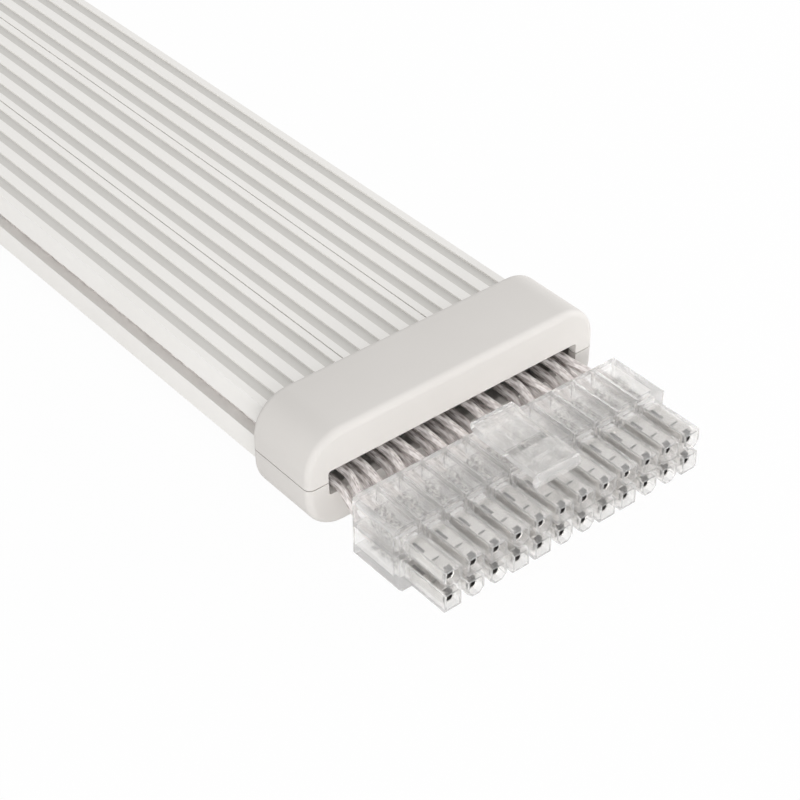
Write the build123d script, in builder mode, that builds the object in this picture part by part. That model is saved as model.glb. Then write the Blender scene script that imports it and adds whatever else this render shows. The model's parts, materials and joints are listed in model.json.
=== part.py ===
"""24-circuit power supply extension cable with light guides on both faces.

The cable lies along Y. The receptacle that plugs into a board faces -Y, and the plug that takes
the supply's own lead faces +Y. Z is up, and z = 0 is the plane that the two covers rest on.
"""
import math
import os

from build123d import *

# ---------------------------------------------------------------- driving dimensions (mm)
COLUMNS = 12
PITCH = 4.2                 # between columns, and between the two rows
ROW_MID_Z = 6.3             # height midway between the two rows of circuits

CELL = 3.1                  # outside of one silo of the receptacle
CELL_FIT = 0.1              # room round a silo in the plug, each side
KEY_CUT = 0.9               # lower corners cut off a keyed silo
KEY_WALL = 0.3              # wall left between that cut and the bore
SILO_SIDE = 0.43            # walls beside the bore
SILO_WALL = 0.33            # walls above and below the bore
SILO_LENGTH = 8.6
BODY_WALL = 0.95            # outside the last cavities of a row
BODY_COVER = 1.75           # above and below the cavities
BODY_LENGTH = 10.5
BODY_EDGE = 0.5
CAVITY = 3.3                # room for crimp and wire
RIB_WIDTH = 0.9
RIB_HEIGHT = 0.3

LATCH_WIDTH = 8.0
LATCH_THICKNESS = 1.2
LATCH_LIFT = 0.6            # gap under the lever
LATCH_FOOT = 1.5
LATCH_SETBACK = 3.5         # hook behind the silo mouths
LATCH_REAR_ROOM = 0.4
HOOK_DROP = 1.4
HOOK_LENGTH = 1.7
GRIP_LENGTH = 3.2
GRIP_RISE = 0.6

PLUG_WALL = 1.1             # above and below the sockets
PLUG_BODY_LENGTH = 13.2     # floor of the sockets to the rear
PLUG_COLLAR = 0.5           # step up from the mating part to the rear body
SOCKET_ROOM = 0.6           # socket deeper than a silo is long
PLUG_FLOOR = 1.2
PIN_HOLE = 1.5
CATCH_WIDTH = 7.0
CATCH_HEIGHT = 1.1
CATCH_LENGTH = 2.6
CATCH_SETBACK = 0.6

SHEET = 0.25                # terminal sheet thickness
BOX_FIT = 0.12              # room round the terminal's box in its silo
BOX_LENGTH = 9.4
TIP_SETBACK = 1.0           # terminal behind the silo mouth
SPRING_SLIT = 0.25          # slits round the contact spring, in the top of the box
SPRING_FRONT = 1.1          # behind the terminal's tip
SPRING_REAR = 2.7
SPRING_WIDTH = 1.2
LANCE_FRONT = 4.5
LANCE_REAR = 6.8
CHANNEL_LENGTH = 7.2        # open channel from the box to the end of the insulation grip
CHANNEL_WALL = 1.2
WIRE_SETBACK = 3.0          # end of the wire behind the box
PIN = 1.1
PIN_LENGTH = 8.8
PIN_TIP = 0.3               # bevel round the tip
PIN_BODY = 2.3
PIN_BODY_LENGTH = 6.4

WIRE = 1.44
WIRE_SIDES = 6              # the sleeve's section, with flats above and below
WIRE_FIT = 0.01             # between the two layers of wires, and to the guides
WIRE_EXIT = 0.8             # straight out of the connector
SLOT_BEND = 0.6             # bend in front of the slot
SLOT_BEND_TANGENT = 1.2
# how far each wire leans out of its column on the way to the cover, in pitches
SLOT_SHIFT = {
    "upper": (0.57, 0.24, 0.36, -0.02, 0.07, 0.02, 0.24, -0.07, 0.38, -0.09, 0.17, -0.21),
    "lower": (0.17, 0.07, 0.14, -0.14, -0.10, -0.17, -0.21, -0.26, 0.07, -0.19, -0.14, -0.33),
}

CONNECTOR_GAP = 7.2         # open wires between connector and cover
COVER_SIDE = 3.41           # beyond the guides, each side
COVER_HEIGHT = 17.4
COVER_DEPTH = 13.8
COVER_RADIUS = 6.5
COVER_EDGE = 0.7
COVER_WALL = 1.6
SLOT_HEIGHT = 4.3
SLOT_MID_Z = 8.55
SLOT_SIDE = 3.75            # cover left beside the slot
LIP_HEIGHT = 0.6
LIP_THICKNESS = 0.7
LIP_FIT = 0.05

GUIDE_LENGTH = 150.0        # open length between the covers
GUIDE_COUNT = 3
GUIDE_GAP = 0.2
GUIDE_HEIGHT = 4.3
GUIDE_MID_Z = 7.9
GUIDE_INSERT = 3.6          # guide inside the cover
CHANNELS = 4
CHANNEL_WIDTH = 1.88
CHANNEL_RIB = 1.98
CHANNEL_SIDE = 1.4
CHANNEL_DEPTH = 2.8
CORE_RECESS = 0.3
WINDOW_ROOM = 0.2

BOARD = 1.0
BOARD_SIDE = 0.21           # board beyond the guides, each side
BOARD_WIRE_ROOM = 0.2       # board edge clear of the wires
LED_WIDTH = 1.6
LED_HEIGHT = 1.4
LED_DEPTH = 0.8
LED_ROOM = 0.15
BOARD_RIB = 0.8
BOARD_RIB_HEIGHT = 1.5

# ---------------------------------------------------------------- worked-out places
ROWS = {"upper": ROW_MID_Z + PITCH / 2, "lower": ROW_MID_Z - PITCH / 2}
BODY_WIDTH = (COLUMNS - 1) * PITCH + CAVITY + 2 * BODY_WALL
BODY_HEIGHT = PITCH + CAVITY + 2 * BODY_COVER
PLUG_HEIGHT = PITCH + CELL + 2 * CELL_FIT + 2 * PLUG_WALL
BORE_WIDTH = CELL - 2 * SILO_SIDE
BORE_HEIGHT = CELL - 2 * SILO_WALL
BOX_WIDTH = BORE_WIDTH - 2 * BOX_FIT
BOX_HEIGHT = BORE_HEIGHT - 2 * BOX_FIT
# an outline set in by d keeps this much less of the cut across its lower corners
CUT_SET_IN = 2 - math.sqrt(2)
BORE_CUT = KEY_CUT + KEY_WALL * math.sqrt(2) - SILO_SIDE - SILO_WALL
BOX_CUT = BORE_CUT - BOX_FIT * CUT_SET_IN
SOCKET_DEPTH = SILO_LENGTH + SOCKET_ROOM
RECEPTACLE_LENGTH = SILO_LENGTH + BODY_LENGTH
PLUG_LENGTH = SOCKET_DEPTH + PLUG_BODY_LENGTH
TOTAL = (RECEPTACLE_LENGTH + PLUG_LENGTH + 2 * CONNECTOR_GAP + 2 * COVER_DEPTH
         + GUIDE_LENGTH)
MOUTH_Y = -TOTAL / 2
RECEPTACLE_REAR_Y = MOUTH_Y + RECEPTACLE_LENGTH
NEAR_COVER_Y = RECEPTACLE_REAR_Y + CONNECTOR_GAP          # face with the wire slot
PLUG_FACE_Y = TOTAL / 2
PLUG_REAR_Y = PLUG_FACE_Y - PLUG_LENGTH
FAR_COVER_Y = PLUG_REAR_Y - CONNECTOR_GAP
COVER_MID_Z = COVER_HEIGHT / 2
BODY_TOP_Z = ROW_MID_Z + BODY_HEIGHT / 2
TERMINAL_Y = MOUTH_Y + TIP_SETBACK
TERMINAL_BOX_END_Y = TERMINAL_Y + BOX_LENGTH
PIN_BODY_Y = PLUG_FACE_Y - SOCKET_DEPTH - PLUG_FLOOR      # its front, against the floor
PIN_BODY_END_Y = PIN_BODY_Y - PIN_BODY_LENGTH
WIRE_START_Y = TERMINAL_BOX_END_Y + WIRE_SETBACK
WIRE_STEP = WIRE + WIRE_FIT                               # between the two layers of wires
WIRE_LEVELS = {"upper": WIRE_STEP / 2, "lower": -WIRE_STEP / 2}
GUIDE_SPACE = 2 * WIRE_STEP                               # between upper and lower guides
GUIDE_WIDTH = 2 * CHANNEL_SIDE + CHANNELS * CHANNEL_WIDTH + (CHANNELS - 1) * CHANNEL_RIB
GUIDES_WIDTH = GUIDE_COUNT * GUIDE_WIDTH + (GUIDE_COUNT - 1) * GUIDE_GAP
COVER_WIDTH = GUIDES_WIDTH + 2 * COVER_SIDE
SLOT_WIDTH = COVER_WIDTH - 2 * SLOT_SIDE
BOARD_WIDTH = GUIDES_WIDTH + 2 * BOARD_SIDE
GUIDE_START_Y = NEAR_COVER_Y + COVER_DEPTH - GUIDE_INSERT
GUIDE_END_Y = FAR_COVER_Y - COVER_DEPTH + GUIDE_INSERT
WIRE_CORNERS = WIRE / math.cos(math.pi / WIRE_SIDES)      # width across the section's corners
# S is a square silo and D is a keyed one, along each row from -X
KEYING = {"lower": "SDDSSDDSSDDS", "upper": "DSSDDSSDDSSD"}

PARTS = {}


def across(y):
    """Plane across the cable: local x is X and local y is Z. extrude(-d) goes to y + d."""
    return Plane(origin=(0, y, 0), x_dir=(1, 0, 0), z_dir=(0, -1, 0))


def column_x(column):
    return (column - (COLUMNS - 1) / 2) * PITCH


def keep(builder, name):
    builder.part.label = name
    PARTS[name] = builder.part


def cell_outline(width, height, cut, mode=Mode.ADD):
    """Rectangle with its two lower corners cut off at 45 degrees."""
    x, z = width / 2, height / 2
    Polygon((-x, z), (-x, cut - z), (cut - x, -z), (x - cut, -z), (x, cut - z), (x, z),
            align=None, mode=mode)


def silo_cells(width, height, cut):
    """One outline for each silo: square, or with the cut where it is keyed."""
    for row, z in ROWS.items():
        for column, letter in enumerate(KEYING[row]):
            with Locations((column_x(column), z)):
                if letter == "D":
                    cell_outline(width, height, cut)
                else:
                    Rectangle(width, height)


def square_cells(size):
    with Locations((0, ROW_MID_Z)):
        with GridLocations(PITCH, PITCH, COLUMNS, 2):
            Rectangle(size, size)


# ---------------------------------------------------------------- receptacle
def latch_outline(front_y, rear_y, base_z):
    """Side view of the one-piece latch: hook, lever, foot and thumb grip."""
    under = base_z + LATCH_LIFT
    top = under + LATCH_THICKNESS
    foot_y = (front_y + rear_y - LATCH_FOOT) / 2
    bevel = HOOK_LENGTH / 2
    Polygon((front_y, top - bevel), (front_y + bevel, top), (rear_y - GRIP_LENGTH, top),
            (rear_y - GRIP_LENGTH / 2, top + GRIP_RISE), (rear_y, top + GRIP_RISE),
            (rear_y, under + GRIP_RISE), (rear_y - GRIP_LENGTH / 2, under),
            (foot_y + LATCH_FOOT, under), (foot_y + LATCH_FOOT, base_z), (foot_y, base_z),
            (foot_y, under), (front_y + HOOK_LENGTH, under),
            (front_y + HOOK_LENGTH, under - HOOK_DROP),
            (front_y + bevel, under - HOOK_DROP), (front_y, under), align=None)


def make_receptacle_housing():
    body_y = MOUTH_Y + SILO_LENGTH
    with BuildPart() as housing:
        with BuildSketch(across(body_y)):
            with Locations((0, ROW_MID_Z)):
                Rectangle(BODY_WIDTH, BODY_HEIGHT)
        extrude(amount=-BODY_LENGTH)
        chamfer(housing.edges().filter_by(Axis.Y), BODY_EDGE)
        with BuildSketch(across(MOUTH_Y)):
            silo_cells(CELL, CELL, KEY_CUT)
        extrude(amount=-SILO_LENGTH)
        with BuildSketch(across(MOUTH_Y)):
            silo_cells(BORE_WIDTH, BORE_HEIGHT, BORE_CUT)
        extrude(amount=MOUTH_Y - TERMINAL_BOX_END_Y, mode=Mode.SUBTRACT)
        with BuildSketch(across(TERMINAL_BOX_END_Y)):
            square_cells(CAVITY)
        extrude(amount=TERMINAL_BOX_END_Y - RECEPTACLE_REAR_Y, mode=Mode.SUBTRACT)
        # shallow ribs on top, one over each wall between two columns
        with BuildSketch(across(body_y + BODY_EDGE)):
            with Locations((0, BODY_TOP_Z + RIB_HEIGHT / 2)):
                with GridLocations(PITCH, PITCH, COLUMNS - 1, 1):
                    Rectangle(RIB_WIDTH, RIB_HEIGHT)
        extrude(amount=2 * BODY_EDGE - BODY_LENGTH)
        with BuildSketch(Plane.YZ.offset(-LATCH_WIDTH / 2)):
            latch_outline(MOUTH_Y + LATCH_SETBACK, RECEPTACLE_REAR_Y - LATCH_REAR_ROOM,
                          BODY_TOP_Z)
        extrude(amount=LATCH_WIDTH)
    keep(housing, "receptacle_housing")


# ---------------------------------------------------------------- terminals and pins
def row_places(row):
    return Locations(*[(column_x(column), ROWS[row]) for column in range(COLUMNS)])


def spring_slits():
    """L-shaped slit beside and behind the contact spring, and the slot of the lance."""
    side = -BOX_WIDTH / 2
    inside = side + SPRING_SLIT
    end = inside + SPRING_WIDTH
    Polygon((side, SPRING_FRONT), (inside, SPRING_FRONT), (inside, SPRING_REAR - SPRING_SLIT),
            (end, SPRING_REAR - SPRING_SLIT), (end, SPRING_REAR), (side, SPRING_REAR),
            align=None)
    with Locations((inside, (LANCE_FRONT + LANCE_REAR) / 2)):
        Rectangle(SPRING_SLIT, LANCE_REAR - LANCE_FRONT)


def make_terminals(row):
    channel_z = (CHANNEL_WALL - WIRE) / 2 - SHEET
    with BuildPart() as terminals:
        with BuildSketch(across(TERMINAL_Y)):
            with row_places(row):
                cell_outline(BOX_WIDTH, BOX_HEIGHT, BOX_CUT)
                cell_outline(BOX_WIDTH - 2 * SHEET, BOX_HEIGHT - 2 * SHEET,
                             BOX_CUT - SHEET * CUT_SET_IN, Mode.SUBTRACT)
        extrude(amount=-BOX_LENGTH)
        with BuildSketch(Plane.XY.offset(ROWS[row] + BOX_HEIGHT / 2)):
            with Locations(*[(column_x(column), TERMINAL_Y) for column in range(COLUMNS)]):
                spring_slits()
        extrude(amount=-2 * SHEET, mode=Mode.SUBTRACT)
        # open channel: the sheet folded up on both sides of the wire
        with BuildSketch(across(TERMINAL_BOX_END_Y)):
            with row_places(row):
                with Locations((0, channel_z)):
                    Rectangle(WIRE_CORNERS + 2 * SHEET, CHANNEL_WALL)
                with Locations((0, channel_z + SHEET)):
                    Rectangle(WIRE_CORNERS, CHANNEL_WALL, mode=Mode.SUBTRACT)
        extrude(amount=-CHANNEL_LENGTH)
    keep(terminals, f"receptacle_terminals_{row}_row")


def make_pins(row):
    with BuildPart() as pins:
        with BuildSketch(across(PIN_BODY_Y)):
            with row_places(row):
                Rectangle(PIN, PIN)
        extrude(amount=-PIN_LENGTH)
        chamfer(pins.faces().group_by(Axis.Y)[-1].edges(), PIN_TIP)
        with BuildSketch(across(PIN_BODY_Y)):
            with row_places(row):
                Rectangle(PIN_BODY, PIN_BODY)
        extrude(amount=PIN_BODY_LENGTH)
    keep(pins, f"plug_pins_{row}_row")


# ---------------------------------------------------------------- plug
def make_plug_housing():
    floor_y = PLUG_FACE_Y - SOCKET_DEPTH
    cavity_y = floor_y - PLUG_FLOOR
    with BuildPart() as housing:
        with BuildSketch(across(PLUG_FACE_Y)):
            with Locations((0, ROW_MID_Z)):
                Rectangle(BODY_WIDTH, PLUG_HEIGHT)
        extrude(amount=PLUG_LENGTH)
        chamfer(housing.edges().filter_by(Axis.Y), BODY_EDGE)
        with BuildSketch(across(floor_y)):
            with Locations((0, ROW_MID_Z)):
                Rectangle(BODY_WIDTH, PLUG_HEIGHT + 2 * PLUG_COLLAR)
        extrude(amount=PLUG_BODY_LENGTH)
        with BuildSketch(across(PLUG_FACE_Y)):
            silo_cells(CELL + 2 * CELL_FIT, CELL + 2 * CELL_FIT, KEY_CUT)
        extrude(amount=SOCKET_DEPTH, mode=Mode.SUBTRACT)
        with BuildSketch(across(floor_y)):
            square_cells(PIN_HOLE)
        extrude(amount=PLUG_FLOOR, mode=Mode.SUBTRACT)
        with BuildSketch(across(cavity_y)):
            square_cells(CAVITY)
        extrude(amount=cavity_y - PLUG_REAR_Y, mode=Mode.SUBTRACT)
        with BuildSketch(Plane.YZ.offset(-CATCH_WIDTH / 2)):
            top = ROW_MID_Z + PLUG_HEIGHT / 2
            front = PLUG_FACE_Y - CATCH_SETBACK
            Polygon((front, top), (front - CATCH_LENGTH, top + CATCH_HEIGHT),
                    (front - CATCH_LENGTH, top), align=None)
        extrude(amount=CATCH_WIDTH)
    keep(housing, "plug_housing")


# ---------------------------------------------------------------- wires
def bend_radii(points):
    """Radius at each inner point, as large as the runs and the cover's slot leave room for."""
    runs = [b - a for a, b in zip(points, points[1:])]
    radii = []
    for before, after in zip(runs, runs[1:]):
        turn = math.radians(before.get_angle(after))
        tangent = 0.45 * min(before.length, after.length)
        if max(before.length, after.length) > GUIDE_LENGTH:
            tangent = SLOT_BEND_TANGENT
        radii.append(tangent / math.tan(turn / 2))
    return radii


def wire_route(row, column):
    x = column_x(column)
    z = ROWS[row]
    slot_x = x + SLOT_SHIFT[row][column] * PITCH
    slot_z = GUIDE_MID_Z + WIRE_LEVELS[row]
    return [Vector(x, WIRE_START_Y, z),
            Vector(x, RECEPTACLE_REAR_Y + WIRE_EXIT, z),
            Vector(slot_x, NEAR_COVER_Y - SLOT_BEND, slot_z),
            Vector(slot_x, FAR_COVER_Y + SLOT_BEND, slot_z),
            Vector(x, PLUG_REAR_Y - WIRE_EXIT, z),
            Vector(x, PIN_BODY_END_Y, z)]


def make_wire(row, column):
    points = wire_route(row, column)
    radii = bend_radii(points)
    start = points[0]
    with BuildPart() as wire:
        with BuildLine() as route:
            FilletPolyline(*points, radius=radii)
        with BuildSketch(Plane(origin=start, x_dir=(1, 0, 0), z_dir=(0, 1, 0))):
            RegularPolygon(WIRE / 2, WIRE_SIDES, major_radius=False)
        sweep(path=route.wire())
    keep(wire, f"wire_{row}_{column + 1:02d}")
    section = WIRE_SIDES * (WIRE / 2) ** 2 * math.tan(math.pi / WIRE_SIDES)
    expected = section * route.wire().length
    print(f"{row} {column + 1}: smallest radius {min(radii):.1f},",
          f"volume {wire.part.volume / expected:.4f} of section x length")


# ---------------------------------------------------------------- covers
def full_cover(front_y, way):
    """Outside of both shells together. front_y is the slot's face, way points into it."""
    with BuildPart() as outside:
        with BuildSketch(across(front_y)):
            with Locations((0, COVER_MID_Z)):
                RectangleRounded(COVER_WIDTH, COVER_HEIGHT, COVER_RADIUS)
        extrude(amount=-way * COVER_DEPTH)
        chamfer(outside.faces().filter_by(Axis.Y).edges(), COVER_EDGE)
    return outside.part


def lip_ring(front_y, way, z, height, fit):
    """Ring on the inner half of the wall that locates one shell in the other."""
    inside = COVER_WALL - LIP_THICKNESS
    with BuildPart() as ring:
        with BuildSketch(Plane.XY.offset(z)):
            with Locations((0, front_y + way * COVER_DEPTH / 2)):
                Rectangle(COVER_WIDTH - 2 * inside + 2 * fit,
                          COVER_DEPTH - 2 * inside + 2 * fit)
                Rectangle(COVER_WIDTH - 2 * COVER_WALL, COVER_DEPTH - 2 * COVER_WALL,
                          mode=Mode.SUBTRACT)
        extrude(amount=height)
    return ring.part


def make_cover_shell(end, half):
    way = 1 if end == "near" else -1
    front_y = NEAR_COVER_Y if end == "near" else FAR_COVER_Y
    inner_y = front_y + way * COVER_WALL
    board_y = front_y + way * (COVER_DEPTH - GUIDE_INSERT - LED_ROOM - LED_DEPTH - BOARD)
    upper = half == "upper"
    ceiling = COVER_HEIGHT - COVER_WALL if upper else COVER_WALL
    rib_z = ceiling - BOARD_RIB_HEIGHT / 2 if upper else ceiling + BOARD_RIB_HEIGHT / 2
    with BuildPart() as shell:
        add(full_cover(front_y, way))
        with BuildSketch(across(inner_y)):
            with Locations((0, COVER_MID_Z)):
                RectangleRounded(COVER_WIDTH - 2 * COVER_WALL, COVER_HEIGHT - 2 * COVER_WALL,
                                 COVER_RADIUS - COVER_WALL)
        extrude(amount=-way * (COVER_DEPTH - 2 * COVER_WALL), mode=Mode.SUBTRACT)
        split(bisect_by=Plane.XY.offset(COVER_MID_Z), keep=Keep.TOP if upper else Keep.BOTTOM)
        if upper:
            add(lip_ring(front_y, way, COVER_MID_Z, LIP_HEIGHT + LIP_FIT, LIP_FIT),
                mode=Mode.SUBTRACT)
        else:
            add(lip_ring(front_y, way, COVER_MID_Z, LIP_HEIGHT, 0))
        with BuildSketch(across(front_y)):
            with Locations((0, SLOT_MID_Z)):
                Rectangle(SLOT_WIDTH, SLOT_HEIGHT)
        extrude(amount=-way * COVER_DEPTH / 2, mode=Mode.SUBTRACT)
        with BuildSketch(across(front_y + way * COVER_DEPTH)):
            with Locations((0, GUIDE_MID_Z)):
                Rectangle(GUIDES_WIDTH + 2 * WINDOW_ROOM,
                          2 * GUIDE_HEIGHT + GUIDE_SPACE + 2 * WINDOW_ROOM)
        extrude(amount=way * COVER_DEPTH / 2, mode=Mode.SUBTRACT)
        # rib that the circuit board stands against
        with BuildSketch(across(board_y)):
            with Locations((0, rib_z)):
                Rectangle(BOARD_WIDTH - 2 * COVER_RADIUS, BOARD_RIB_HEIGHT)
        extrude(amount=way * BOARD_RIB)
    keep(shell, f"{end}_cover_{half}_shell")


# ---------------------------------------------------------------- boards and LEDs
def guide_levels(half):
    """Bottom and top of the guides in one layer."""
    if half == "upper":
        bottom = GUIDE_MID_Z + GUIDE_SPACE / 2
    else:
        bottom = GUIDE_MID_Z - GUIDE_SPACE / 2 - GUIDE_HEIGHT
    return bottom, bottom + GUIDE_HEIGHT


def guide_x(module):
    return (module - (GUIDE_COUNT - 1) / 2) * (GUIDE_WIDTH + GUIDE_GAP)


def channel_x(module, channel):
    step = CHANNEL_WIDTH + CHANNEL_RIB
    return guide_x(module) + (channel - (CHANNELS - 1) / 2) * step


def core_mid_z(half):
    """Middle of the strips, which lie on the floors of the channels."""
    bottom, top = guide_levels(half)
    height = CHANNEL_DEPTH - CORE_RECESS
    if half == "upper":
        return top - CHANNEL_DEPTH + height / 2
    return bottom + CHANNEL_DEPTH - height / 2


def make_board(end, half):
    way = 1 if end == "near" else -1
    front_y = NEAR_COVER_Y if end == "near" else FAR_COVER_Y
    board_y = front_y + way * (COVER_DEPTH - GUIDE_INSERT - LED_ROOM - LED_DEPTH - BOARD)
    if half == "upper":
        low = GUIDE_MID_Z + WIRE_LEVELS["upper"] + WIRE / 2 + BOARD_WIRE_ROOM
        high = COVER_HEIGHT - COVER_WALL
    else:
        low = COVER_WALL
        high = GUIDE_MID_Z + WIRE_LEVELS["lower"] - WIRE / 2 - BOARD_WIRE_ROOM
    outer = high if half == "upper" else low
    inner = low if half == "upper" else high
    toward = 1 if half == "upper" else -1
    half_width = BOARD_WIDTH / 2
    # the outer corners are cut to clear the rounded inside of the cover
    inside_radius = COVER_RADIUS - COVER_WALL
    cut_x = half_width - (COVER_WIDTH / 2 - COVER_RADIUS)
    cut_z = toward * (inside_radius - math.sqrt(inside_radius ** 2 - cut_x ** 2))
    with BuildPart() as board:
        with BuildSketch(across(board_y)):
            Polygon((-half_width, inner), (half_width, inner), (half_width, outer - cut_z),
                    (half_width - cut_x, outer), (cut_x - half_width, outer),
                    (-half_width, outer - cut_z), align=None)
        extrude(amount=-way * BOARD)
    keep(board, f"{end}_board_{half}")
    with BuildPart() as leds:
        with BuildSketch(across(board_y + way * BOARD)):
            places = [(channel_x(module, channel), core_mid_z(half))
                      for module in range(GUIDE_COUNT) for channel in range(CHANNELS)]
            with Locations(*places):
                Rectangle(LED_WIDTH, LED_HEIGHT)
        extrude(amount=-way * LED_DEPTH)
    keep(leds, f"{end}_leds_{half}")


# ---------------------------------------------------------------- light guides
def make_guide(half, module):
    bottom, top = guide_levels(half)
    length = GUIDE_END_Y - GUIDE_START_Y
    face = top - CHANNEL_DEPTH / 2 if half == "upper" else bottom + CHANNEL_DEPTH / 2
    places = [(channel_x(module, channel), face) for channel in range(CHANNELS)]
    with BuildPart() as body:
        with BuildSketch(across(GUIDE_START_Y)):
            with Locations((guide_x(module), (bottom + top) / 2)):
                Rectangle(GUIDE_WIDTH, GUIDE_HEIGHT)
            with Locations(*places):
                Rectangle(CHANNEL_WIDTH, CHANNEL_DEPTH, mode=Mode.SUBTRACT)
        extrude(amount=-length)
    keep(body, f"light_guide_{half}_{module + 1}")
    with BuildPart() as cores:
        with BuildSketch(across(GUIDE_START_Y)):
            with Locations(*[(x, core_mid_z(half)) for x, _ in places]):
                Rectangle(CHANNEL_WIDTH, CHANNEL_DEPTH - CORE_RECESS)
        extrude(amount=-length)
    keep(cores, f"guide_strips_{half}_{module + 1}")


def main():
    make_receptacle_housing()
    make_plug_housing()
    for row in ROWS:
        make_terminals(row)
        make_pins(row)
        for column in range(COLUMNS):
            make_wire(row, column)
    for half in ("upper", "lower"):
        for end in ("near", "far"):
            make_cover_shell(end, half)
            make_board(end, half)
        for module in range(GUIDE_COUNT):
            make_guide(half, module)
    os.makedirs("parts", exist_ok=True)
    for name, part in PARTS.items():
        export_step(part, f"parts/{name}.step")


main()
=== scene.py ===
"""Looks of a 24-circuit power supply extension cable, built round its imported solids."""
import json
import math

import bmesh
import bpy
from mathutils import Matrix, Vector


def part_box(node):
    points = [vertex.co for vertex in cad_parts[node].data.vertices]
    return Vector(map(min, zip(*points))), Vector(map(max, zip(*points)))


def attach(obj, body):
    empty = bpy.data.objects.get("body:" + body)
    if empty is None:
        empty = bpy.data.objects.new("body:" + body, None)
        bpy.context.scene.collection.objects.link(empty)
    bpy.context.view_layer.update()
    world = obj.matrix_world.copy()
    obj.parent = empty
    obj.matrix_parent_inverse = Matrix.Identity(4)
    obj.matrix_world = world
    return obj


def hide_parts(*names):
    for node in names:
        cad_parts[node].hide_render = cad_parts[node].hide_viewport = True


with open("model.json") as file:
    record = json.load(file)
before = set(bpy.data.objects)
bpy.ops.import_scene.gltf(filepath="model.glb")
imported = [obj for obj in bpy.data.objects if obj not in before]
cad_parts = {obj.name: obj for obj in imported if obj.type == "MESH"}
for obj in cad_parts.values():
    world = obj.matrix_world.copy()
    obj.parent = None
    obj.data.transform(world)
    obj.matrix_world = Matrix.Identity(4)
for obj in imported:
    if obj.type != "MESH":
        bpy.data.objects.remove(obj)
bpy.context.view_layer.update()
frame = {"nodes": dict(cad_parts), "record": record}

MM = 0.001

# ---------------------------------------------------------------- places, from the frame
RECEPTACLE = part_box("receptacle_housing")
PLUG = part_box("plug_housing")
COVERS = {
    end: (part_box(f"{end}_cover_lower_shell")[0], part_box(f"{end}_cover_upper_shell")[1])
    for end in ("near", "far")
}
MOUTH_Y = RECEPTACLE[0].y
TIP_Y = MOUTH_Y + 1.0 * MM              # the terminals stand back in their bores
PIN_TIP_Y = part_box("plug_pins_upper_row")[1].y

# ---------------------------------------------------------------- camera, light and floor
CAMERA_AZIMUTH = math.radians(-39.0)
CAMERA_ELEVATION = math.radians(38.18)
CAMERA_ROLL = math.radians(-0.42)
CAMERA_DISTANCE = 256.54 * MM
CAMERA_LENS = 93.17                     # millimetres, as the sensor's width
CAMERA_SENSOR = 36
CAMERA_NEAR = 10 * MM
CAMERA_TARGET = Vector((-32.28 * MM, MOUTH_Y, 43.91 * MM))

# place, size and power of each lamp, in metres and watts
SOFTBOXES = {
    "front_softbox": ((-0.50, -0.78, 0.13), (0.5, 0.25), 3.6),
    "side_softbox": ((0.75, -0.25, 0.24), (0.5, 0.4), 3.2),
}
SOFTBOX_AIM = (0, -0.08, 0)
WORLD_LIGHT = 0.77
FLOOR_Z = -0.01 * MM
FLOOR_REACH = 3.0
FLOOR_TONE = 0.8
FLOOR_GLOW = 0.97                       # share of the plain white that the background shows
BOUNCES = {
    "max_bounces": 32, "glossy_bounces": 32, "transmission_bounces": 32,
    "diffuse_bounces": 5, "transparent_max_bounces": 48,
}

# ---------------------------------------------------------------- covers
COVER_WIDTH = 56.0 * MM
COVER_HEIGHT = 17.4 * MM
COVER_DEPTH = 13.8 * MM
COVER_RADIUS = 6.5 * MM
COVER_EDGE = 1.2 * MM
COVER_WALL = 1.6 * MM
COVER_SEAM = 0.05 * MM                  # from the middle of the seam to either shell
COVER_BEVEL = 0.12 * MM
CORNER_STEPS = 14
EDGE_STEPS = 7
SLOT_WIDTH = 48.5 * MM
SLOT_HEIGHT = 4.3 * MM
SLOT_MID_Z = 8.55 * MM
SLOT_CORNER = 0.5 * MM
WINDOW_WIDTH = 49.58 * MM
WINDOW_HEIGHT = 11.9 * MM
WINDOW_MID_Z = 7.9 * MM
WINDOW_CORNER = 0.2 * MM

# ---------------------------------------------------------------- wires
COLUMNS = 12
PITCH = 4.2 * MM
ROWS = {"upper": 8.4 * MM, "lower": 4.2 * MM}
WIRE_LEVELS = {"upper": 8.625 * MM, "lower": 7.175 * MM}
WIRE = 1.44 * MM
WIRE_SIDES = 20
WIRE_EXIT = 0.8 * MM                    # straight run behind a connector
BEND_STEPS = 8
BEND_SHARE = 0.45                       # of the shorter run beside it, for a bend's tangent
SLOT_BEND = 0.6 * MM
SLOT_BEND_TANGENT = 1.2 * MM
# how far a wire leans out of its column between connector and cover, in pitches
SLOT_SHIFT = {
    "upper": (0.57, 0.24, 0.36, -0.02, 0.07, 0.02, 0.24, -0.07, 0.38, -0.09, 0.17, -0.21),
    "lower": (0.17, 0.07, 0.14, -0.14, -0.10, -0.17, -0.21, -0.26, 0.07, -0.19, -0.14, -0.33),
}

# ---------------------------------------------------------------- terminals and pins
SHEET = 0.22 * MM
SHEET_BEVEL = 0.03 * MM
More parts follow.
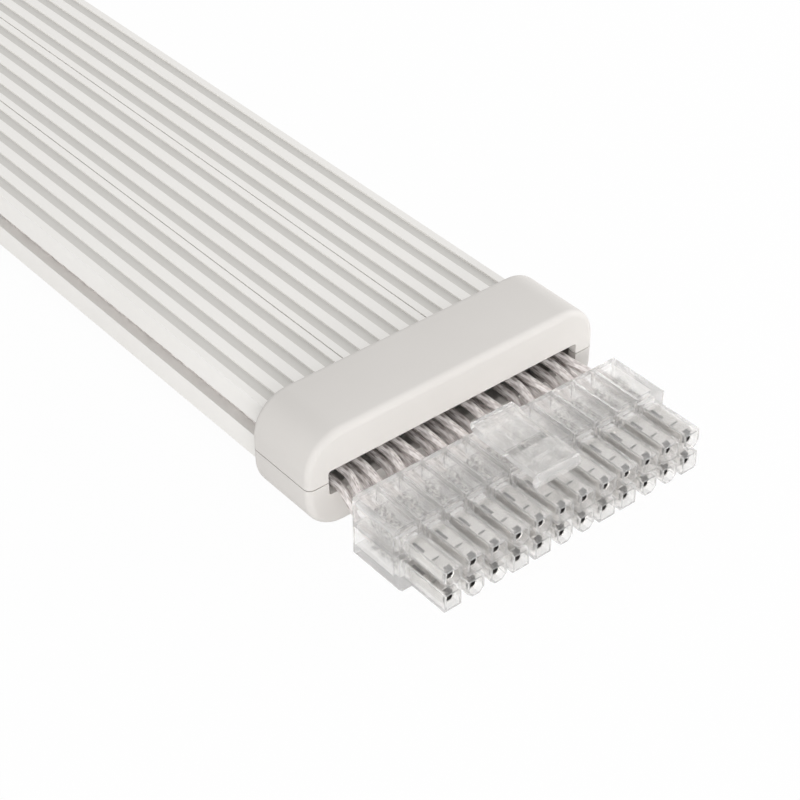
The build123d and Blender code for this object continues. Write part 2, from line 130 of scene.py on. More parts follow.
# The rest of this group is in millimetres: x across, y back from the tip of the terminal
# or pin, and z from the middle of its row.
BOX_LENGTH = 9.0
BOX_SIDE = 1.0                          # half its width
BOX_TOP = 1.1                           # half its height
BOX_CUT = 0.49                          # cut corners of its floor
BOX_BEND = 0.22
BOX_BEND_STEPS = 3
TIP_LENGTH = 0.25
TIP_TAPER = (0.94, 0.95)                # of width and height
LIP = 0.6                               # front of the top, back from the sides' front
SPRING = (1.1, 2.45, 2.7, 0.45)         # slit from, cross slit from and to, its end in x
SPRING_DEPTH = 0.22                     # how far the spring is pressed in
LANCE = (4.5, 6.9, -0.4)                # slot from and to, its far side in x
TONGUE = ((0.35, -0.8), (1.4, -0.35), (2.6, -0.2), (4.5, -0.7))     # its y and z
TONGUE_SIDE = 0.55
CORE_CRIMP = (9.9, 12.2)
SLEEVE_CRIMP = (12.9, 15.4)
PIN_BOX_END = 11.2
# half the width of a pin along it, from its tip to the end of its box
PIN_STATIONS = ((0, 0.25), (0.2, 0.4), (0.8, 0.52), (8.6, 0.52), (9.1, 0.98), (PIN_BOX_END, 0.98))
PIN_SIDES = 16
PIN_SQUARENESS = 0.5                    # 1 is round
PIN_CORE_CRIMP = (11.6, 13.0)
PIN_SLEEVE_CRIMP = (13.5, 15.2)
CRIMP_FLOOR = -0.95
CRIMP_RISE = 0.2                        # from the low wings to the crimp itself
# width, top, and how far the wings curl back down
BOX_WINGS = (1.9, 0.3, 0.0)
LOW_WINGS = (1.9, -0.05, 0.0)
CORE_WINGS = (1.5, 0.45, 0.45)
SLEEVE_WINGS = (1.9, 0.98, 0.12)
SLEEVE_END = 0.2                        # the wire's sleeve begins ahead of its crimp
STRANDS = 7                             # six round one
STRAND = 0.13                           # radius
STRAND_SIDES = 6
STRAND_STEPS = 8
STRAND_LAY = 0.35                       # twist at each step, in radians
STRAND_Z = -0.25
STRAND_FROM = 0.3                       # behind the box
STRAND_TO = 0.6                         # into the sleeve crimp
# The crimps' finish, whose colour carries painted shade in the creases.
CRIMP_LOOK = 2                             # finish of the crimps among a terminal's

# ---------------------------------------------------------------- rounds on the solids
HOUSING_ROUND = 0.08 * MM
GUIDE_ROUND = 0.06 * MM
WELD_GAP = 0.002 * MM


# ---------------------------------------------------------------- node helpers
def feed(tree, socket, value):
    """A link into the socket, or a plain value on it."""
    if isinstance(value, Signal):
        value = value.socket
    if isinstance(value, bpy.types.NodeSocket):
        tree.links.new(value, socket)
    else:
        socket.default_value = value


def put_node(tree, kind, settings=None, inputs=None):
    """A node of any tree: its settings first, then the values or links of its sockets."""
    node = tree.nodes.new(kind)
    for name, value in (settings or {}).items():
        setattr(node, name, value)
    for name, value in (inputs or {}).items():
        feed(tree, node.inputs[name], value)
    return node


class Signal:
    """A socket of a node tree. Arithmetic on one that gives a number adds Math nodes."""

    def __init__(self, tree, socket):
        self.tree = tree
        self.socket = socket

    def maths(self, operation, *values):
        inputs = dict(enumerate(values))
        node = put_node(self.tree, "ShaderNodeMath", {"operation": operation}, inputs)
        return Signal(self.tree, node.outputs[0])

    def __add__(self, other):
        return self.maths("ADD", self, other)

    def __radd__(self, other):
        return self.maths("ADD", other, self)

    def __sub__(self, other):
        return self.maths("SUBTRACT", self, other)

    def __rsub__(self, other):
        return self.maths("SUBTRACT", other, self)

    def __mul__(self, other):
        return self.maths("MULTIPLY", self, other)

    def __rmul__(self, other):
        return self.maths("MULTIPLY", other, self)

    def sine(self):
        return self.maths("SINE", self)

    def arc(self, other):
        return self.maths("ARCTAN2", self, other)

    def most(self, other):
        return self.maths("MAXIMUM", self, other)


class Finish:
    """A material with one Principled shader, whose sockets are given by name."""

    def __init__(self, name, **sockets):
        self.material = bpy.data.materials.new(name)
        self.material.use_nodes = True
        self.tree = self.material.node_tree
        self.shader = self.tree.nodes["Principled BSDF"]
        self.set(**sockets)

    def set(self, **sockets):
        for name, value in sockets.items():
            feed(self.tree, self.shader.inputs[name.replace("_", " ")], value)

    def node(self, kind, settings=None, inputs=None, output=0):
        node = put_node(self.tree, kind, settings, inputs)
        return Signal(self.tree, node.outputs[output])

    def noise(self, scale, detail=3.0):
        """Cloudy noise on Object coordinates, its scale for a millimetre."""
        coordinates = self.node("ShaderNodeTexCoord", output="Object")
        place = self.node("ShaderNodeMapping",
                          inputs={"Vector": coordinates, "Scale": (1 / MM,) * 3})
        return self.node("ShaderNodeTexNoise",
                         inputs={"Vector": place, "Scale": scale, "Detail": detail})

    def mixed(self, factor, dark, light):
        """Colour from dark to light as factor goes from 0 to 1."""
        return self.node("ShaderNodeMix", {"data_type": "RGBA"},
                         {0: factor, 6: (*dark, 1), 7: (*light, 1)}, output=2)

    def bump(self, height, distance, strength=1.0):
        return self.node("ShaderNodeBump",
                         inputs={"Height": height, "Distance": distance,
                                 "Strength": strength})


# ---------------------------------------------------------------- finishes
def moulded_white():
    """Matt white ABS with a fine spark-eroded texture."""
    finish = Finish("moulded_white", Roughness=0.62, IOR=1.45)
    tone = finish.noise(0.09, 2.0)
    grain = finish.noise(9.0, 2.0)
    finish.set(Base_Color=finish.mixed(tone, (0.655, 0.63, 0.603), (0.683, 0.66, 0.633)),
               Normal=finish.bump(grain, 0.004 * MM, 0.6))
    return finish.material


def white_silicone():
    finish = Finish("white_silicone", Roughness=0.55, IOR=1.41)
    tone = finish.noise(0.12)
    finish.set(Base_Color=finish.mixed(tone, (0.85, 0.83, 0.80), (0.88, 0.865, 0.84)))
    return finish.material


def frosted_strip():
    """Frosted grey core of a light guide."""
    finish = Finish("frosted_strip", Roughness=0.6, IOR=1.41)
    tone = finish.noise(0.10)
    finish.set(Base_Color=finish.mixed(tone, (0.63, 0.615, 0.585), (0.67, 0.655, 0.63)))
    return finish.material


def clear_plastic():
    """Clear nylon, faintly milky. It lets most of the lamps' light through to what is inside."""
    finish = Finish("clear_plastic", IOR=1.42, Transmission_Weight=0.85)
    light_path = put_node(finish.tree, "ShaderNodeLightPath")
    shadow = Signal(finish.tree, light_path.outputs["Is Shadow Ray"])
    cloud = finish.noise(0.6, 2.0)
    finish.set(Base_Color=finish.mixed(cloud, (0.99, 0.98, 0.965), (1.0, 0.99, 0.98)),
               Roughness=0.01 + 0.03 * cloud, Alpha=0.78 - 0.73 * shadow)
    return finish.material


def tinned_metal():
    finish = Finish("tinned_metal", Metallic=1.0)
    tone = finish.noise(0.9, 2.0)
    finish.set(Base_Color=finish.mixed(tone, (0.66, 0.645, 0.625), (0.80, 0.785, 0.765)),
               Roughness=0.14 + 0.08 * tone)
    return finish.material


def crimped_metal_painted_shade():
    """Strands and wings of a crimp, creased and dulled by the press, with painted shade: their
    colour goes near black where the creases sink.
    """
    finish = Finish("crimped_metal_painted_shade", Metallic=1.0)
    crease_and_shade = finish.noise(1.9)
    # Painted shade: the colour darkens with the creases, for the shade among strands and wings.
    tone = (crease_and_shade - 0.42) * 5.0
    finish.set(Base_Color=finish.mixed(tone, (0.13, 0.12, 0.11), (0.86, 0.85, 0.83)),
               Roughness=0.25 + 0.1 * crease_and_shade, Normal=finish.bump(crease_and_shade, 0.05 * MM))
    return finish.material


def shaded_metal():
    """Inside of the terminals, dulled by wear, with painted shade: its near-black colour stands
    for the shade inside them, out of the light.
    """
    finish = Finish("shaded_metal", Metallic=1.0)
    tone = finish.noise(0.9, 2.0)
    finish.set(Base_Color=finish.mixed(tone, (0.035, 0.033, 0.031), (0.08, 0.077, 0.074)),
               Roughness=0.3 + 0.1 * tone)
    return finish.material


def braided_sleeve():
    """Fine silvery monofilament braid over the wire, by place round and along it."""
    finish = Finish("braided_sleeve", IOR=1.5)
    ring = finish.node("ShaderNodeAttribute", {"attribute_name": "ring"}, output="Vector")
    parts = put_node(finish.tree, "ShaderNodeSeparateXYZ", inputs={0: ring})
    across = Signal(finish.tree, parts.outputs["X"])
    up = Signal(finish.tree, parts.outputs["Y"])
    along = Signal(finish.tree, parts.outputs["Z"])
    turn = up.arc(across)
    carriers = 16
    lay = 2.6
    one_way = (turn * carriers + along * lay).sine()
    other_way = (turn * carriers - along * lay).sine()
    braid = one_way.most(other_way)
    drawn_out = finish.node("ShaderNodeMapping",
                            inputs={"Vector": ring, "Scale": (2.6, 2.6, 0.35)})
    fibres = finish.node("ShaderNodeTexNoise",
                         inputs={"Vector": drawn_out, "Scale": 1.6, "Detail": 4.0})
    # Partly painted shade: colour and bump share fibres and braid, so the colour darkens in the
    # bump's hollows, over the braid's own streaky tone.
    tone = (fibres - 0.33) * 3.0 + braid * 0.15
    finish.set(Base_Color=finish.mixed(tone, (0.21, 0.165, 0.15), (0.96, 0.92, 0.905)),
               Metallic=0.15, Roughness=0.4,
               Normal=finish.bump(fibres * 2.0 + braid * 0.5, 0.012 * MM, 0.7))
    return finish.material


def board_white():
    finish = Finish("board_white", Roughness=0.35)
    tone = finish.noise(0.5)
    finish.set(Base_Color=finish.mixed(tone, (0.70, 0.72, 0.70), (0.76, 0.78, 0.76)))
    return finish.material


def led_lens():
    finish = Finish("led_lens", Roughness=0.2)
    tone = finish.noise(1.5)
    finish.set(Base_Color=finish.mixed(tone, (0.75, 0.70, 0.45), (0.85, 0.84, 0.75)))
    return finish.material


# ---------------------------------------------------------------- pieces
def new_object(name, data):
    thing = bpy.data.objects.new(name, data)
    bpy.context.scene.collection.objects.link(thing)
    return thing


def finished_mesh(mesh, name):
    """Plain mesh from a bmesh, its faces outwards."""
    bmesh.ops.recalc_face_normals(mesh, faces=mesh.faces)
    data = bpy.data.meshes.new(name)
    mesh.to_mesh(data)
    mesh.free()
    return data


def place_piece(piece, node):
    """Rides the piece on the cable, in the place of its solid, which it hides."""
    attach(piece, "root")
    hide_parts(node)


def add_bevel(thing, name, width, angle, segments=1):
    bevel = thing.modifiers.new(name, "BEVEL")
    bevel.width = width
    bevel.segments = segments
    bevel.limit_method = "ANGLE"
    bevel.angle_limit = math.radians(angle)
    return bevel


def rounded_outline(width, height, radius, mid_z, y):
    """Loop round a rounded rectangle across the cable, the same number of points for all."""
    points = []
    for corner, (side_x, side_z) in enumerate(((1, 1), (-1, 1), (-1, -1), (1, -1))):
        centre_x = side_x * (width / 2 - radius)
        centre_z = side_z * (height / 2 - radius)
        for step in range(CORNER_STEPS + 1):
            angle = math.pi / 2 * (corner + step / CORNER_STEPS)
            points.append(Vector((centre_x + radius * math.cos(angle), y,
                                  mid_z + centre_z + radius * math.sin(angle))))
    return points


def cover_loops(front_y, way):
    """Closed series of loops over the outside of a cover and back through its inside."""
    mid_z = COVER_HEIGHT / 2
    back_y = front_y + way * COVER_DEPTH

    def outside(inset, y):
        return rounded_outline(COVER_WIDTH - 2 * inset, COVER_HEIGHT - 2 * inset,
                               COVER_RADIUS - inset, mid_z, y)

    def rim(y, into):
        loops = []
        for step in range(EDGE_STEPS + 1):
            angle = math.pi / 2 * step / EDGE_STEPS
            inset = COVER_EDGE * (1 - math.sin(angle))
            loops.append(outside(inset, y + into * COVER_EDGE * (1 - math.cos(angle))))
        return loops

    def slot(y):
        return rounded_outline(SLOT_WIDTH, SLOT_HEIGHT, SLOT_CORNER, SLOT_MID_Z, y)

    def window(y):
        return rounded_outline(WINDOW_WIDTH, WINDOW_HEIGHT, WINDOW_CORNER, WINDOW_MID_Z, y)

    loops = rim(front_y, way)
    loops += reversed(rim(back_y, -way))
    loops += [window(back_y), window(back_y - way * COVER_WALL),
              outside(COVER_WALL, back_y - way * COVER_WALL),
              outside(COVER_WALL, front_y + way * COVER_WALL),
              slot(front_y + way * COVER_WALL), slot(front_y)]
    return loops


def cover_shell(end, half, material):
    """Upper or lower half of a cover, cut from the whole at the seam."""
    lo, hi = COVERS[end]
    way = 1 if end == "near" else -1
    front_y = lo.y if end == "near" else hi.y
    mesh = bmesh.new()
    rings = [[mesh.verts.new(point) for point in loop] for loop in cover_loops(front_y, way)]
    for ring, after in zip(rings, rings[1:] + rings[:1]):
        for i in range(len(ring)):
            j = (i + 1) % len(ring)
            mesh.faces.new((ring[i], ring[j], after[j], after[i]))
    bmesh.ops.recalc_face_normals(mesh, faces=mesh.faces)
    side = 1 if half == "upper" else -1
    everything = mesh.verts[:] + mesh.edges[:] + mesh.faces[:]
    bmesh.ops.bisect_plane(mesh, geom=everything, clear_inner=True,
                           plane_co=(0, 0, COVER_HEIGHT / 2 + side * COVER_SEAM),
                           plane_no=(0, 0, side))
    open_edges = [edge for edge in mesh.edges if edge.is_boundary]
    bmesh.ops.holes_fill(mesh, edges=open_edges, sides=0)
    for face in mesh.faces:
        face.smooth = True
    name = f"{end}_cover_{half}"
    shell = new_object(name, finished_mesh(mesh, name))
    add_bevel(shell, "edges", COVER_BEVEL, 50, segments=2).harden_normals = True
    shell.data.materials.append(material)
    place_piece(shell, f"{name}_shell")


def sleeve_tree(material):
    """Tube along a route whose corners are rounded, with its place round and along stored."""
    tree = bpy.data.node_groups.new("sleeve", "GeometryNodeTree")
    sockets = tree.interface
    sockets.new_socket("Route", in_out="INPUT", socket_type="NodeSocketGeometry")
    for name, kind in (("Diameter", "Float"), ("Bend Steps", "Int"), ("Sides", "Int")):
        sockets.new_socket(name, in_out="INPUT", socket_type=f"NodeSocket{kind}")
    sockets.new_socket("Sleeve", in_out="OUTPUT", socket_type="NodeSocketGeometry")
    given = put_node(tree, "NodeGroupInput").outputs
    radius = put_node(tree, "GeometryNodeInputNamedAttribute", {"data_type": "FLOAT"},
                      {"Name": "bend_radius"})
    line = put_node(tree, "GeometryNodeMeshToCurve", inputs={"Mesh": given["Route"]})
    rounded = put_node(tree, "GeometryNodeFilletCurve", {"mode": "POLY"},
                       {"Curve": line.outputs["Curve"], "Count": given["Bend Steps"],
                        "Radius": radius.outputs["Attribute"], "Limit Radius": True})
    parameter = put_node(tree, "GeometryNodeSplineParameter")
    route = put_node(tree, "GeometryNodeCaptureAttribute", {"domain": "POINT"},
                     {"Geometry": rounded.outputs["Curve"]})
    route.capture_items.new("FLOAT", "Length")
    tree.links.new(parameter.outputs["Length"], route.inputs["Length"])
    circle = put_node(tree, "GeometryNodeCurvePrimitiveCircle", {"mode": "RADIUS"},
                      {"Resolution": given["Sides"], "Radius": 1.0})
    spot = put_node(tree, "GeometryNodeInputPosition")
    section = put_node(tree, "GeometryNodeCaptureAttribute", {"domain": "POINT"},
                       {"Geometry": circle.outputs["Curve"]})
    section.capture_items.new("VECTOR", "Spot")
    tree.links.new(spot.outputs["Position"], section.inputs["Spot"])
    radius_of_wire = Signal(tree, given["Diameter"]) * 0.5
    size = put_node(tree, "ShaderNodeCombineXYZ",
                    inputs={axis: radius_of_wire for axis in "XYZ"})
    shrunk = put_node(tree, "GeometryNodeTransform", inputs={
        "Geometry": section.outputs["Geometry"], "Scale": size.outputs[0]})
    tube = put_node(tree, "GeometryNodeCurveToMesh", inputs={
        "Curve": route.outputs["Geometry"], "Profile Curve": shrunk.outputs["Geometry"],
        "Fill Caps": True})
    parts = put_node(tree, "ShaderNodeSeparateXYZ", inputs={0: section.outputs["Spot"]})
    in_mm = Signal(tree, route.outputs["Length"]) * (1 / MM)
    ring = put_node(tree, "ShaderNodeCombineXYZ", inputs={
        "X": parts.outputs["X"], "Y": parts.outputs["Y"], "Z": in_mm})
    stored = put_node(tree, "GeometryNodeStoreNamedAttribute",
                      {"data_type": "FLOAT_VECTOR", "domain": "POINT"},
                      {"Geometry": tube.outputs["Mesh"], "Name": "ring",
                       "Value": ring.outputs[0]})
    smooth = put_node(tree, "GeometryNodeSetShadeSmooth",
                      inputs={"Geometry": stored.outputs["Geometry"]})
    whole = put_node(tree, "GeometryNodeRealizeInstances",
                     inputs={"Geometry": smooth.outputs["Geometry"]})
    painted = put_node(tree, "GeometryNodeSetMaterial",
                       inputs={"Geometry": whole.outputs["Geometry"], "Material": material})
    put_node(tree, "NodeGroupOutput", inputs={"Sleeve": painted.outputs["Geometry"]})
    return tree


def row_tree():
    """A row of copies along X, one for each column, with the finishes of the piece copied."""
    tree = bpy.data.node_groups.new("row", "GeometryNodeTree")
    sockets = tree.interface
    sockets.new_socket("Piece", in_out="INPUT", socket_type="NodeSocketGeometry")
    for name, kind in (("Count", "Int"), ("Pitch", "Float"), ("Start", "Vector")):
        sockets.new_socket(name, in_out="INPUT", socket_type=f"NodeSocket{kind}")
    sockets.new_socket("Row", in_out="OUTPUT", socket_type="NodeSocketGeometry")
    given = put_node(tree, "NodeGroupInput").outputs
    step = put_node(tree, "ShaderNodeCombineXYZ", inputs={"X": given["Pitch"]})
    places = put_node(tree, "GeometryNodeMeshLine", inputs={
        "Count": given["Count"], "Start Location": given["Start"],
        "Offset": step.outputs[0]})
    copies = put_node(tree, "GeometryNodeInstanceOnPoints", inputs={
        "Points": places.outputs[0], "Instance": given["Piece"]})
    whole = put_node(tree, "GeometryNodeRealizeInstances",
                     inputs={"Geometry": copies.outputs[0]})
    put_node(tree, "NodeGroupOutput", inputs={"Row": whole.outputs[0]})
    return tree


def grown(name, source, tree, values):
    """Plain mesh object from a geometry tree run on source with the named values."""
    modifier = source.modifiers.new("grow", "NODES")
    modifier.node_group = tree
    for item in tree.interface.items_tree:
        if item.in_out == "INPUT" and item.name in values:
            modifier[item.identifier] = values[item.name]
    bpy.context.view_layer.update()
    evaluated = source.evaluated_get(bpy.context.evaluated_depsgraph_get())
    mesh = bpy.data.meshes.new_from_object(evaluated)
    mesh.name = name
    source.modifiers.clear()
    bpy.data.objects.remove(source)
    return new_object(name, mesh)


# ---------------------------------------------------------------- terminals and pins
def lay_sheet(mesh, sections, closed, holes=(), look=0):
    """Faces between sections [(y, points)], but for the holes (section, point)."""
    rings = [[mesh.verts.new((x * MM, y * MM, z * MM)) for x, z in points]
             for y, points in sections]
    for i, (ring, after) in enumerate(zip(rings, rings[1:])):
        for j in range(len(ring) if closed else len(ring) - 1):
            k = (j + 1) % len(ring)
            if (i, j) not in holes:
                face = mesh.faces.new((ring[j], ring[k], after[k], after[j]))
                face.material_index = look


def bent(centre, turn_from):
    """Points of a quarter bend of the sheet round its centre, from an angle in degrees."""
    turns = [math.radians(turn_from + 90 * i / BOX_BEND_STEPS)
             for i in range(BOX_BEND_STEPS + 1)]
    return [(centre[0] + BOX_BEND * math.cos(turn), centre[1] + BOX_BEND * math.sin(turn))
            for turn in turns]


def box_section():
    """Outside of the box, once round from the slit side of its top."""
    side, top, cut = BOX_SIDE, BOX_TOP, BOX_CUT
    right = bent((side - BOX_BEND, top - BOX_BEND), 0)[::-1]
    left = bent((BOX_BEND - side, top - BOX_BEND), 90)[::-1]
    return ([(LANCE[2], top), (SPRING[3], top)] + right
            + [(side, 0), (side, cut - top), (side - cut, -top), (cut - side, -top),
               (-side, cut - top), (-side, 0)] + left)


def wings(width, top, curl):
    """Open section of a crimp: floor, sides, and wings that curl in at the top."""
    right = [(0.3 * width, CRIMP_FLOOR), (0.45 * width, CRIMP_FLOOR + 0.12),
             (width / 2, CRIMP_FLOOR + 0.4), (width / 2, top - 0.35),
             (0.42 * width, top - 0.1), (0.25 * width, top), (0.06 * width, top - curl)]
    return [(-x, z) for x, z in reversed(right)] + right


def add_crimps(mesh, way, box_end, core_crimp, sleeve_crimp):
    """Twisted strands, and the sheet whose wings hold them and the sleeve of the wire."""
    first_y = box_end + STRAND_FROM
    run = sleeve_crimp[0] + STRAND_TO - first_y
    corners = [math.tau * i / STRAND_SIDES for i in range(STRAND_SIDES)]
    for strand in range(STRANDS):
        out = 0.0 if strand == STRANDS - 1 else 2 * STRAND
        loops = []
        for step in range(STRAND_STEPS + 1):
            turn = math.tau * strand / (STRANDS - 1) + STRAND_LAY * step
            x, z = out * math.cos(turn), out * math.sin(turn) + STRAND_Z
            y = first_y + step * run / STRAND_STEPS
            loops.append((way * y, [(x + STRAND * math.cos(corner),
                                     z + STRAND * math.sin(corner)) for corner in corners]))
        lay_sheet(mesh, loops, True, look=CRIMP_LOOK)
    stations = [(box_end, BOX_WINGS),
                (core_crimp[0] - CRIMP_RISE, LOW_WINGS), (core_crimp[0], CORE_WINGS),
                (core_crimp[1], CORE_WINGS), (core_crimp[1] + CRIMP_RISE, LOW_WINGS),
                (sleeve_crimp[0] - CRIMP_RISE, LOW_WINGS), (sleeve_crimp[0], SLEEVE_WINGS),
                (sleeve_crimp[1], SLEEVE_WINGS)]
    lay_sheet(mesh, [(way * y, wings(*form)) for y, form in stations], False, look=CRIMP_LOOK)


def terminal_mesh():
    """Folded box with its slits and holes, the tongue in it, and the crimps behind."""
    mesh = bmesh.new()
    section = box_section()
    last = len(section) - 1
    pressed = [(x, z - SPRING_DEPTH) if i in (0, last) else (x, z)
               for i, (x, z) in enumerate(section)]
    tip = [(TIP_TAPER[0] * x, TIP_TAPER[1] * z) for x, z in section]
    stations = [(0, tip), (TIP_LENGTH, section), (LIP, section), (SPRING[0], section),
                (SPRING[1], pressed), (SPRING[2], section), (LANCE[0], section),
                (LANCE[1], section), (BOX_LENGTH, section)]
    # Faces left out, by station and point: those ahead of the lip, those of the slit and
    # the lance slot in the left bend, and then the cross slit and the rest of the slot.
    left_bend = range(last - BOX_BEND_STEPS, last)
    holes = {(i, j) for i in (0, 1) for j in (0, last)}
    holes |= {(i, j) for i in (3, 4, 6) for j in left_bend}
    holes |= {(4, 0), (4, last), (6, last)}
    lay_sheet(mesh, stations, True, holes)
    lay_sheet(mesh, [(y, [(-TONGUE_SIDE, z), (TONGUE_SIDE, z)]) for y, z in TONGUE], False)
    add_crimps(mesh, 1, BOX_LENGTH, CORE_CRIMP, SLEEVE_CRIMP)
    return finished_mesh(mesh, "terminal")


def squared(half):
    """Section of a pin, between a circle and a square."""
    def side(value):
        return half * math.copysign(abs(value) ** PIN_SQUARENESS, value)

    turns = [math.tau * (i + 0.5) / PIN_SIDES for i in range(PIN_SIDES)]
    return [(side(math.cos(turn)), side(math.sin(turn))) for turn in turns]


def pin_mesh():
    """Folded pin of the plug, its tip at the origin and its crimps towards -Y."""
    mesh = bmesh.new()
    lay_sheet(mesh, [(-y, squared(half)) for y, half in PIN_STATIONS], True)
    mesh.verts.ensure_lookup_table()
    mesh.faces.new(mesh.verts[:PIN_SIDES])
    add_crimps(mesh, -1, PIN_BOX_END, PIN_CORE_CRIMP, PIN_SLEEVE_CRIMP)
    return finished_mesh(mesh, "pin")


def contact_row(kind, row, mesh, tip_y, tree, looks):
    """Twelve terminals or pins of one row, each a bent sheet."""
    source = new_object(kind, mesh)
    for look in looks:
        source.data.materials.append(look)
    sheet = source.modifiers.new("sheet", "SOLIDIFY")
    sheet.thickness = SHEET
    sheet.offset = -1
    # Inner faces take the next finish, so the tinned sheet is lined with the painted shade of
    # shaded_metal.
    sheet.material_offset = 1
    add_bevel(source, "edges", SHEET_BEVEL, 50)
    first = Vector(((1 - COLUMNS) / 2 * PITCH, tip_y, ROWS[row]))
    pieces = grown(f"{kind}_{row}", source, tree,
                   {"Count": COLUMNS, "Pitch": PITCH, "Start": first})
    place_piece(pieces, f"{kind}_{row}_row")


# ---------------------------------------------------------------- wires
def wire_route(row, column):
    """Corners of a wire's route from its crimp in the receptacle to the one in the plug."""
    x = (column - (COLUMNS - 1) / 2) * PITCH
    z = ROWS[row]
    slot_x = x + SLOT_SHIFT[row][column] * PITCH
    slot_z = WIRE_LEVELS[row]
    start_y = TIP_Y + (SLEEVE_CRIMP[0] - SLEEVE_END) * MM
    end_y = PIN_TIP_Y - (PIN_SLEEVE_CRIMP[0] - SLEEVE_END) * MM
    return [Vector((x, start_y, z)), Vector((x, RECEPTACLE[1].y + WIRE_EXIT, z)),
            Vector((slot_x, COVERS["near"][0].y - SLOT_BEND, slot_z)),
            Vector((slot_x, COVERS["far"][1].y + SLOT_BEND, slot_z)),
            Vector((x, PLUG[0].y - WIRE_EXIT, z)), Vector((x, end_y, z))]


def bend_radii(points):
    """Radius of the bend at each corner of a route, nothing at its ends."""
    runs = [b - a for a, b in zip(points, points[1:])]
    longest = max(run.length for run in runs)
    radii = [0.0]
    for before, after in zip(runs, runs[1:]):
        tangent = BEND_SHARE * min(before.length, after.length)
        if longest in (before.length, after.length):
            tangent = SLOT_BEND_TANGENT
        radii.append(tangent / math.tan(before.angle(after) / 2))
    return radii + [0.0]


def sleeved_wire(row, column, tree):
    """One wire in its sleeve, grown along its route."""
    points = wire_route(row, column)
    mesh = bpy.data.meshes.new("route")
    mesh.from_pydata(points, [(i, i + 1) for i in range(len(points) - 1)], [])
    bends = mesh.attributes.new("bend_radius", "FLOAT", "POINT")
    bends.data.foreach_set("value", bend_radii(points))
    name = f"wire_{row}_{column + 1:02d}"
    wire = grown(f"sleeved_{name}", new_object("route", mesh), tree,
                 {"Diameter": WIRE, "Bend Steps": BEND_STEPS, "Sides": WIRE_SIDES})
    place_piece(wire, name)


# ---------------------------------------------------------------- solids
def soften_edges(name, width):
    """Small rounds on the sharp edges of a solid, by modifiers alone."""
    solid = frame["nodes"][name]
    weld = solid.modifiers.new("join", "WELD")
    weld.merge_threshold = WELD_GAP
    add_bevel(solid, "rounds", width, 30, segments=2)


def dress_solids(finishes):
    """Gives each solid the finish of its slot."""
    for part in frame["record"]["subparts"]:
        solid = frame["nodes"][part["node"]]
        solid.data.materials.clear()
        solid.data.materials.append(finishes[part["material_slot"]])


# ---------------------------------------------------------------- stage
def background_ray(tree):
    """1 where the eye, a reflection or a view through clear plastic meets the background."""
    light_path = put_node(tree, "ShaderNodeLightPath")
    camera, glossy, through = (Signal(tree, light_path.outputs[f"Is {kind} Ray"])
                               for kind in ("Camera", "Glossy", "Transmission"))
    return camera.most(glossy).most(through)


def make_floor():
    """White floor. What is seen of it is nearly plain white, and it keeps the shadow."""
    mesh = bpy.data.meshes.new("floor")
    corners = [(x * FLOOR_REACH, y * FLOOR_REACH, FLOOR_Z)
               for x, y in ((-1, -1), (1, -1), (1, 1), (-1, 1))]
    mesh.from_pydata(corners, [], [(0, 1, 2, 3)])
    floor = new_object("floor", mesh)
    finish = Finish("floor_white", Base_Color=(FLOOR_TONE,) * 3 + (1,), Roughness=0.9)
    tree = finish.tree
    seen = background_ray(tree)
    glow = put_node(tree, "ShaderNodeEmission", inputs={"Color": (1, 1, 1, 1), "Strength": 1.0})
    mix = put_node(tree, "ShaderNodeMixShader", inputs={
        0: seen * FLOOR_GLOW, 1: finish.shader.outputs[0], 2: glow.outputs[0]})
    tree.links.new(mix.outputs[0], tree.nodes["Material Output"].inputs["Surface"])
    mesh.materials.append(finish.material)


def make_world():
    """Even white light, and full white where the background is seen."""
    world = bpy.data.worlds.new("studio")
    bpy.context.scene.world = world
    world.use_nodes = True
    tree = world.node_tree
    back = tree.nodes["Background"]
    feed(tree, back.inputs["Strength"], WORLD_LIGHT + (1 - WORLD_LIGHT) * background_ray(tree))
    feed(tree, back.inputs["Color"], (1, 1, 1, 1))


def make_lamp(name, place, size, power):
    """Rectangular softbox that faces the near connector."""
    lamp = bpy.data.lights.new(name, "AREA")
    lamp.shape = "RECTANGLE"
    lamp.size, lamp.size_y = size
    lamp.energy = power
    holder = new_object(name, lamp)
    holder.location = place
    holder.rotation_mode = "QUATERNION"
    aim = Vector(SOFTBOX_AIM) - Vector(place)
    holder.rotation_quaternion = aim.to_track_quat("-Z", "Y")


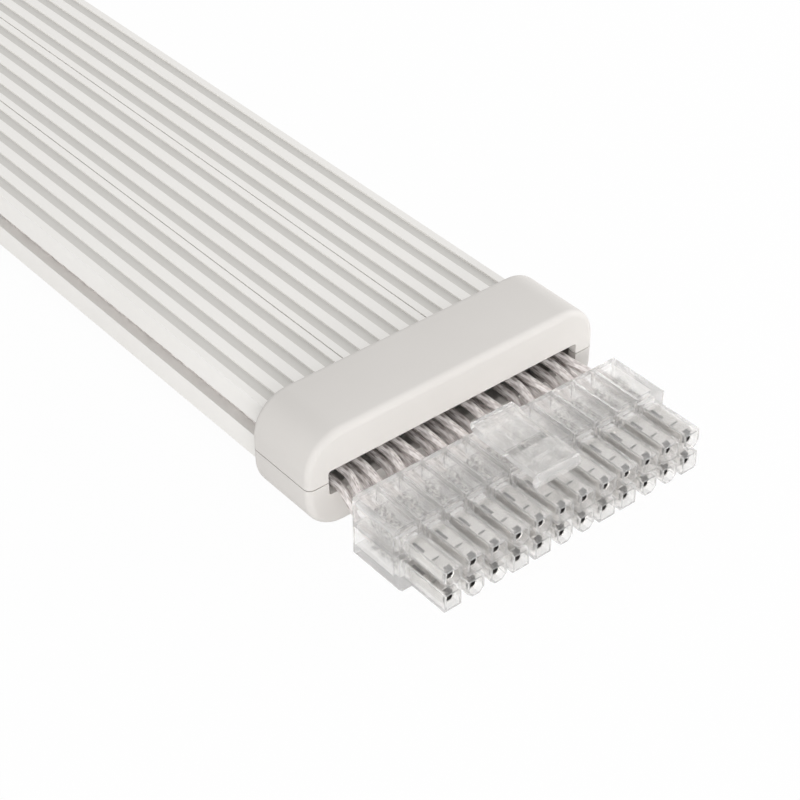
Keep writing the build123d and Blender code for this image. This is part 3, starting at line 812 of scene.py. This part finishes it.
def make_camera():
    a, e, r = CAMERA_AZIMUTH, CAMERA_ELEVATION, CAMERA_ROLL
    back = Vector((math.sin(a) * math.cos(e), -math.cos(a) * math.cos(e), math.sin(e)))
    level = (-back).cross(Vector((0, 0, 1))).normalized()
    upright = level.cross(-back)
    right = level * math.cos(r) + upright * math.sin(r)
    up = upright * math.cos(r) - level * math.sin(r)
    camera = bpy.data.cameras.new("camera")
    camera.lens = CAMERA_LENS
    camera.sensor_width = CAMERA_SENSOR
    camera.clip_start = CAMERA_NEAR
    holder = new_object("camera", camera)
    turned = Matrix((right, up, back)).transposed().to_4x4()
    placed = Matrix.Translation(CAMERA_TARGET + back * CAMERA_DISTANCE)
    holder.matrix_world = placed @ turned
    bpy.context.scene.camera = holder


def make_studio():
    scene = bpy.context.scene
    scene.view_settings.view_transform = "Standard"
    for name, count in BOUNCES.items():
        setattr(scene.cycles, name, count)
    make_camera()
    make_floor()
    make_world()
    for name, (place, size, power) in SOFTBOXES.items():
        make_lamp(name, place, size, power)


def make_cable():
    finishes = {
        "clear_plastic": clear_plastic(), "tinned_metal": tinned_metal(),
        "braided_sleeve": braided_sleeve(), "cover_plastic": moulded_white(),
        "white_silicone": white_silicone(), "guide_core": frosted_strip(),
        "board_white": board_white(), "led_lens": led_lens()}
    dress_solids(finishes)
    for end in COVERS:
        for half in ("upper", "lower"):
            cover_shell(end, half, finishes["cover_plastic"])
    sleeve = sleeve_tree(finishes["braided_sleeve"])
    for row in ROWS:
        for column in range(COLUMNS):
            sleeved_wire(row, column, sleeve)
    line = row_tree()
    looks = (finishes["tinned_metal"], shaded_metal(), crimped_metal_painted_shade())
    for row in ROWS:
        contact_row("receptacle_terminals", row, terminal_mesh(), TIP_Y, line, looks)
        contact_row("plug_pins", row, pin_mesh(), PIN_TIP_Y, line, looks)
    soften_edges("receptacle_housing", HOUSING_ROUND)
    soften_edges("plug_housing", HOUSING_ROUND)
    for layer in ("upper", "lower"):
        for module in (1, 2, 3):
            soften_edges(f"light_guide_{layer}_{module}", GUIDE_ROUND)


make_studio()
make_cable()
